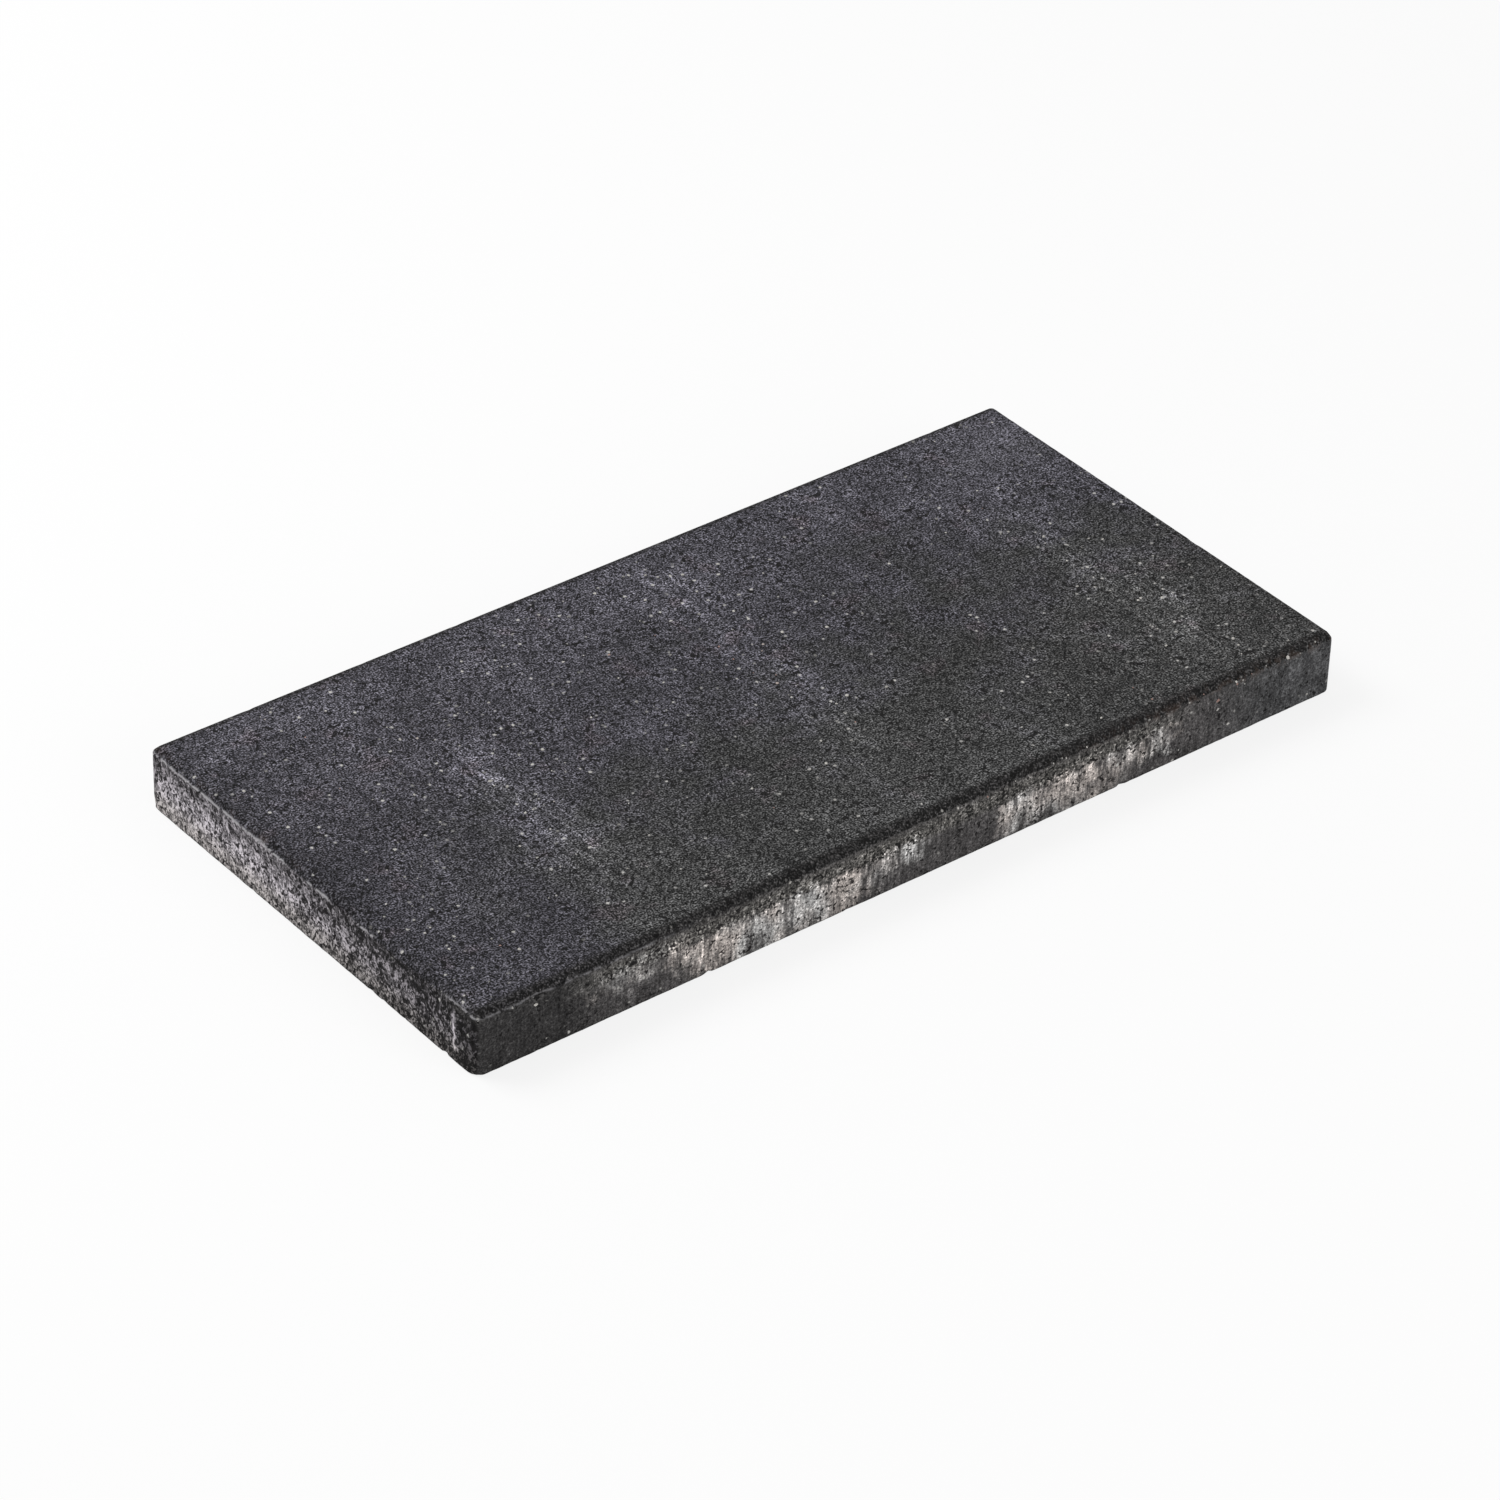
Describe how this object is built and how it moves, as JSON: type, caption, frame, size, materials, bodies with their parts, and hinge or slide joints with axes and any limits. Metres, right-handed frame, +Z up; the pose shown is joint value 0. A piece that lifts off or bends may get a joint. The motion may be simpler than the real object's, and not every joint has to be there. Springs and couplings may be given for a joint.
{
  "type": "concrete paving slab",
  "caption": "Rectangular pressed concrete paving slab with a flat rough wearing face, chamfered upper edges and small rounded corners, laid on a bed to make a path or terrace.",
  "frame": {"origin": "centre of the bed face, the underside that lies on the ground", "axes": "+X along the length, +Y along the width, +Z up out of the wearing face"},
  "size_m": [0.6, 0.3, 0.04],
  "materials": {
    "concrete": "matte, sandy grain, mottled dark grey"
  },
  "bodies": {
    "root": {"paving_slab": "concrete"}
  },
  "joints": []
}
